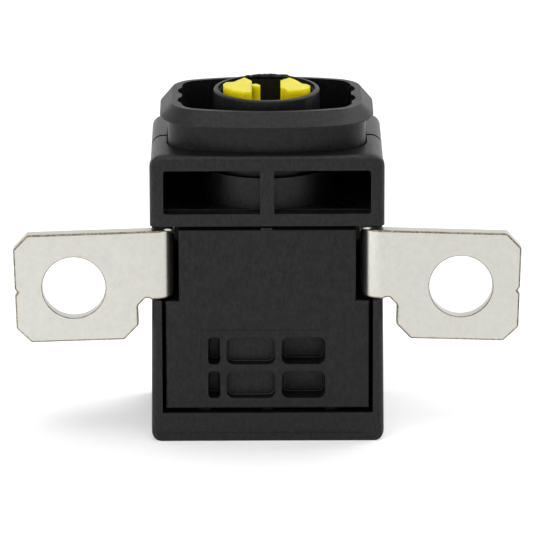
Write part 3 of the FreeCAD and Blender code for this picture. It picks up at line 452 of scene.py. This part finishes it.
def sheared_rim_rule(rim):
    """Gives the slanted rims of a stamped plate their own material, but not its bend."""
    rule = Rule("sheared_rims", {"Bend reach": BEND_REACH}, alters_mesh=True)

    def compare(value, operation, limit):
        node = rule.add(
            "FunctionNodeCompare", {"A": value, "B": limit}, data_type="FLOAT", operation=operation,
        )
        return node.outputs["Result"]

    def size_of(vector, axis):
        parts = rule.add("ShaderNodeSeparateXYZ", {0: vector}).outputs
        return rule.calculate("ABSOLUTE", parts[axis])

    def combined(first, operation, second):
        node = rule.add("FunctionNodeBooleanMath", {0: first, 1: second}, operation=operation)
        return node.outputs[0]

    normal = rule.add("GeometryNodeInputNormal").outputs["Normal"]
    place = rule.add("GeometryNodeInputPosition").outputs["Position"]
    lean = size_of(normal, "Y")
    slanted = combined(
        compare(lean, "GREATER_THAN", RIM_LEAST_LEAN), "AND",
        compare(lean, "LESS_THAN", RIM_MOST_LEAN),
    )
    past_bend = compare(size_of(place, "X"), "GREATER_THAN", rule.given["Bend reach"])
    level = compare(size_of(normal, "Z"), "GREATER_THAN", LEVEL_LEAST_RISE)
    paint = rule.add("GeometryNodeSetMaterial", {
        "Geometry": rule.given["Geometry"], "Material": rim,
        "Selection": combined(slanted, "AND", combined(past_bend, "OR", level)),
    })
    return rule.finish(paint.outputs["Geometry"])


def add_tree(node, name, tree):
    node.modifiers.new(name, "NODES").node_group = tree


def soften_edges(node, width, rim, rim_tree):
    """Bevels a CAD node's edges with modifiers. A rim material also colours the bevels."""
    flats = node.modifiers.new("joined_flats", "DECIMATE")
    flats.decimate_type = "DISSOLVE"
    flats.angle_limit = math.radians(FLAT_ANGLE_DEG)
    if rim is not None:
        node.data.materials.append(rim)
        add_tree(node, "sheared_rims", rim_tree)
    bevel = node.modifiers.new("soft_edges", "BEVEL")
    bevel.width = width
    bevel.segments = BEVEL_SEGMENTS
    bevel.limit_method = "ANGLE"
    bevel.angle_limit = math.radians(SHARP_ANGLE_DEG)
    bevel.use_clamp_overlap = rim is None
    bevel.harden_normals = True
    if rim is not None:
        bevel.material = len(node.data.materials) - 1


def dress_nodes(materials):
    """Gives each CAD node the material of its slot, joined flats and soft edges."""
    slots = {row["node"]: row["material_slot"] for row in frame["record"]["subparts"]}
    skin_tree = joined_skin_rule()
    rim_tree = sheared_rim_rule(materials["sheared_rim"])
    for name, node in frame["nodes"].items():
        node.data.materials.clear()
        node.data.materials.append(materials[slots[name]])
        add_tree(node, "joined_skin", skin_tree)
        if name in EDGE_WIDTHS:
            rim = materials["sheared_rim"] if name.endswith("_terminal") else None
            soften_edges(node, EDGE_WIDTHS[name], rim, rim_tree)


def bead_rule():
    """A bead along a bent line, thick in its middle and thin at both ends, smooth or uneven."""
    rule = Rule("tapered_bead", {
        "Start": (0.0, 0.0, 0.0), "Middle": (0.0, 0.0, 0.0), "End": (0.0, 0.0, 0.0),
        "Thickness": ROLL_THICKNESS, "Unevenness": 0.0, "Clump size": FLASH_CLUMP,
    })
    given = rule.given
    path = rule.add("GeometryNodeCurveQuadraticBezier", {
        "Resolution": BEAD_STEPS,
        "Start": given["Start"], "Middle": given["Middle"], "End": given["End"],
    })
    along = rule.add("GeometryNodeSplineParameter").outputs["Factor"]
    arch = rule.calculate("SINE", rule.calculate("MULTIPLY", along, math.pi))
    full = rule.calculate("MULTIPLY", arch, BEAD_FULLNESS)
    taper = rule.calculate("MINIMUM", rule.calculate("MAXIMUM", full, BEAD_TIP), 1.0)
    profile = rule.ring(BEAD_SIDES, given["Thickness"])
    skin = rule.swept(path.outputs[0], profile, scale=taper, capped=True)
    noise = rule.add("ShaderNodeTexNoise", {
        "Vector": rule.add("GeometryNodeInputPosition").outputs[0],
        "Scale": rule.calculate("DIVIDE", 1.0, given["Clump size"]), "Detail": FLASH_DETAIL,
    })
    centred = rule.add(
        "ShaderNodeVectorMath", {0: noise.outputs["Color"], 1: NOISE_MIDDLE},
        operation="SUBTRACT",
    )
    shift = rule.add(
        "ShaderNodeVectorMath", {0: centred.outputs[0], "Scale": given["Unevenness"]},
        operation="SCALE",
    )
    uneven = rule.add("GeometryNodeSetPosition", {"Geometry": skin, "Offset": shift.outputs[0]})
    return rule.finish_piece(rule.smooth(uneven.outputs[0]))


def pocket_rule():
    """The round foot all round the floor of a pocket, with the same again in the row above."""
    rule = Rule("pocket_feet", {
        "Place": (0.0, 0.0, 0.0), "Row spacing": POCKET_ROW_SPACING,
        "Width": MM, "Height": MM, "Corner": MM, "Thickness": FOOT_THICKNESS,
    })
    given = rule.given
    loop = rule.add("GeometryNodeCurvePrimitiveQuadrilateral", {
        "Width": given["Width"], "Height": given["Height"],
    })
    rounded = rule.add("GeometryNodeFilletCurve", {
        "Curve": loop.outputs[0], "Radius": given["Corner"], "Count": POCKET_CORNER_STEPS,
    }, mode="POLY")
    skin = rule.swept(rounded.outputs[0], rule.ring(FOOT_SIDES, given["Thickness"]))
    upright = rule.add("GeometryNodeTransform", {
        "Geometry": skin, "Rotation": (math.pi / 2, 0.0, 0.0),
    })
    rows = rule.add("GeometryNodeMeshLine", {
        "Count": POCKET_ROWS, "Start Location": given["Place"],
        "Offset": rule.vector(0.0, 0.0, given["Row spacing"]),
    })
    return rule.finish_piece(rule.smooth(rule.on_points(rows.outputs[0], upright.outputs[0])))


def screw_rule(low, high):
    """Four countersunk screws on a rectangle: square recess, plain neck and rolled thread."""
    rule = Rule("body_screw_set", {
        "Centre": tuple((low + high) / 2),
        "Spacing X": high.x - low.x - 2 * SCREW_HEAD_RADIUS,
        "Spacing Y": high.y - low.y - 2 * SCREW_HEAD_RADIUS,
        "Length": high.z - low.z,
        "Head radius": SCREW_HEAD_RADIUS, "Head height": SCREW_HEAD_HEIGHT,
        "Core radius": SCREW_CORE_RADIUS, "Thread height": SCREW_THREAD_HEIGHT,
        "Pitch": SCREW_PITCH, "Thread start": SCREW_THREAD_START,
        "Recess width": SCREW_RECESS_WIDTH, "Recess depth": SCREW_RECESS_DEPTH,
    })
    given = rule.given
    half = rule.calculate("DIVIDE", given["Length"], 2.0)

    def raised(geometry, height):
        return rule.moved(geometry, rule.vector(0.0, 0.0, height))

    cone = rule.add("GeometryNodeMeshCone", {
        "Vertices": SCREW_HEAD_SIDES, "Radius Top": given["Head radius"],
        "Radius Bottom": given["Core radius"], "Depth": given["Head height"],
    })
    recess = rule.cylinder(
        SCREW_RECESS_SIDES, rule.calculate("DIVIDE", given["Recess width"], math.sqrt(2.0)),
        rule.calculate("MULTIPLY", given["Recess depth"], 2.0),
    )
    head_place = rule.calculate("SUBTRACT", half, given["Head height"])
    head = rule.add("GeometryNodeMeshBoolean", {
        0: raised(cone.outputs["Mesh"], head_place), 1: raised(recess, half),
    }, operation="DIFFERENCE")
    core = rule.cylinder(
        SCREW_CORE_SIDES, given["Core radius"],
        rule.calculate("SUBTRACT", given["Length"], given["Head height"]),
    )
    core_place = rule.calculate("DIVIDE", given["Head height"], -2.0)
    reach = rule.calculate("SUBTRACT", given["Length"], given["Thread start"])
    ends = rule.calculate("MULTIPLY", given["Thread height"], 2.0)
    helix = rule.add("GeometryNodeCurveSpiral", {
        "Resolution": SCREW_TURN_STEPS,
        "Rotations": rule.calculate("DIVIDE", reach, given["Pitch"]),
        "Start Radius": given["Core radius"], "End Radius": given["Core radius"],
        "Height": rule.calculate("SUBTRACT", reach, ends),
    })
    ridge = rule.ring(SCREW_THREAD_SIDES, given["Thread height"])
    thread = rule.swept(helix.outputs[0], ridge, capped=True)
    thread_place = rule.calculate("SUBTRACT", given["Thread height"], half)
    joined = rule.add("GeometryNodeJoinGeometry")
    for part in (head.outputs["Mesh"], raised(core, core_place), raised(thread, thread_place)):
        rule.put(joined, 0, part)
    grid = rule.add("GeometryNodeMeshGrid", {
        "Size X": given["Spacing X"], "Size Y": given["Spacing Y"],
        "Vertices X": 2, "Vertices Y": 2,
    })
    placed = rule.on_points(grid.outputs["Mesh"], joined.outputs[0])
    return rule.finish_piece(rule.moved(placed, given["Centre"]))


def piece_from_rule(name, tree, values, material):
    """Runs a tree once and keeps its result as a plain mesh that rides the housing."""
    maker = add_object(name + "_maker", bpy.data.meshes.new(name + "_start"))
    modifier = maker.modifiers.new("rule", "NODES")
    modifier.node_group = tree
    chosen = dict(values, Finish=material)
    for item in tree.interface.items_tree:
        if item.in_out == "INPUT" and item.name in chosen:
            modifier[item.identifier] = chosen[item.name]
    graph = bpy.context.evaluated_depsgraph_get()
    mesh = bpy.data.meshes.new_from_object(maker.evaluated_get(graph), depsgraph=graph)
    bpy.data.objects.remove(maker)
    mesh.name = name
    mesh.materials.clear()
    mesh.materials.append(material)
    piece = add_object(name, mesh)
    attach(piece, "housing")
    return piece


def bead_values(line, thickness, unevenness=0.0):
    start, middle, end = line
    return {
        "Start": start, "Middle": middle, "End": end,
        "Thickness": thickness, "Unevenness": unevenness,
    }


def pocket_values(middle_x, width, depth, corner):
    return {
        "Place": (middle_x, PANEL_FACE + depth - FOOT_INSET, POCKET_LOW_ROW),
        "Width": width - 2 * FOOT_INSET,
        "Height": POCKET_HEIGHT - 2 * FOOT_INSET,
        "Corner": corner - FOOT_INSET,
    }


def make_rule_pieces(materials):
    """The small forms that the CAD leaves out: rolls, flash, pocket feet and screw threads."""
    tin = materials["tinned_copper"]
    black = materials["body_plastic"]
    bead = bead_rule()
    for name, line in ROLLS.items():
        piece_from_rule(name, bead, bead_values(line, ROLL_THICKNESS), tin)
    flash = bead_values(FLASH_LINE, FLASH_THICKNESS, FLASH_UNEVENNESS)
    piece_from_rule("socket_flash", bead, flash, black)
    feet = pocket_rule()
    for name, column in POCKET_COLUMNS.items():
        piece_from_rule(name, feet, pocket_values(*column), black)
    low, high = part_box("body_screws")
    screws = piece_from_rule(
        "threaded_body_screws", screw_rule(low, high), {}, materials["screw_steel"],
    )
    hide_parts("body_screws")


def camera_axes():
    """The camera's right, up and back directions."""
    azimuth = math.radians(CAMERA_AZIMUTH_DEG)
    elevation = math.radians(CAMERA_ELEVATION_DEG)
    roll = math.radians(CAMERA_ROLL_DEG)
    back = Vector((
        math.sin(azimuth) * math.cos(elevation),
        -math.cos(azimuth) * math.cos(elevation),
        math.sin(elevation),
    ))
    right = Vector((math.cos(azimuth), math.sin(azimuth), 0.0))
    up = back.cross(right)
    rolled_right = math.cos(roll) * right + math.sin(roll) * up
    rolled_up = math.cos(roll) * up - math.sin(roll) * right
    return rolled_right, rolled_up, back


def make_camera():
    right, up, back = camera_axes()
    data = bpy.data.cameras.new("front_camera")
    camera = add_object("front_camera", data)
    axes = Matrix((right, up, back)).transposed().to_4x4()
    camera.matrix_world = Matrix.Translation(CAMERA_TARGET + back * CAMERA_DISTANCE) @ axes
    data.sensor_width = SENSOR_WIDTH_MM
    data.lens = SENSOR_WIDTH_MM * TARGET_PIXELS_PER_METRE * CAMERA_DISTANCE / IMAGE_PIXELS
    data.clip_start = CAMERA_NEAREST
    data.clip_end = CAMERA_FARTHEST
    bpy.context.scene.camera = camera


def add_lamp(name, place, aim, size, watts, spread_deg):
    data = bpy.data.lights.new(name, "AREA")
    data.shape = "RECTANGLE"
    data.size, data.size_y = size
    data.energy = watts
    data.spread = math.radians(spread_deg)
    lamp = add_object(name, data)
    lamp.location = place
    lamp.rotation_euler = (Vector(aim) - Vector(place)).to_track_quat("-Z", "Y").to_euler()


def shown_white(nodes):
    """1 for the rays that show the backdrop: camera, glossy and transmission rays."""
    ray = nodes.add("ShaderNodeLightPath").outputs
    seen = nodes.calculate("MAXIMUM", ray["Is Camera Ray"], ray["Is Glossy Ray"])
    return nodes.calculate("MAXIMUM", seen, ray["Is Transmission Ray"])


def make_world():
    world = bpy.data.worlds.new("studio")
    bpy.context.scene.world = world
    world.use_nodes = True
    nodes = Nodes(world.node_tree)
    nodes.tree.nodes.clear()

    def backdrop(strength):
        node = nodes.add("ShaderNodeBackground", {"Color": grey(1.0), "Strength": strength})
        return node.outputs["Background"]

    mix = nodes.add("ShaderNodeMixShader", {
        0: shown_white(nodes), 1: backdrop(BACKDROP_LIGHT), 2: backdrop(BACKDROP_SEEN),
    })
    nodes.add("ShaderNodeOutputWorld", {"Surface": mix.outputs[0]})


def make_floor():
    """A plain floor, lifted to white by a little light of its own where it is seen."""
    reach = FLOOR_HALF_WIDTH
    corners = [(-reach, -reach, 0), (reach, -reach, 0), (reach, reach, 0), (-reach, reach, 0)]
    mesh = bpy.data.meshes.new("floor")
    mesh.from_pydata(corners, [], [(0, 1, 2, 3)])
    shader = Shader("pale_floor")
    shader.set(
        Base_Color=grey(FLOOR_GREY),
        Roughness=FLOOR_ROUGHNESS,
        Emission_Color=grey(1.0),
        Emission_Strength=shader.calculate("MULTIPLY", shown_white(shader), FLOOR_LIFT),
    )
    mesh.materials.append(shader.material)
    floor = add_object("floor", mesh)


def make_studio():
    bpy.context.scene.view_settings.view_transform = "Standard"
    make_camera()
    make_world()
    make_floor()
    for name, lamp in LAMPS.items():
        add_lamp(name, *lamp)


make_studio()
finishes = make_materials()
dress_nodes(finishes)
make_rule_pieces(finishes)
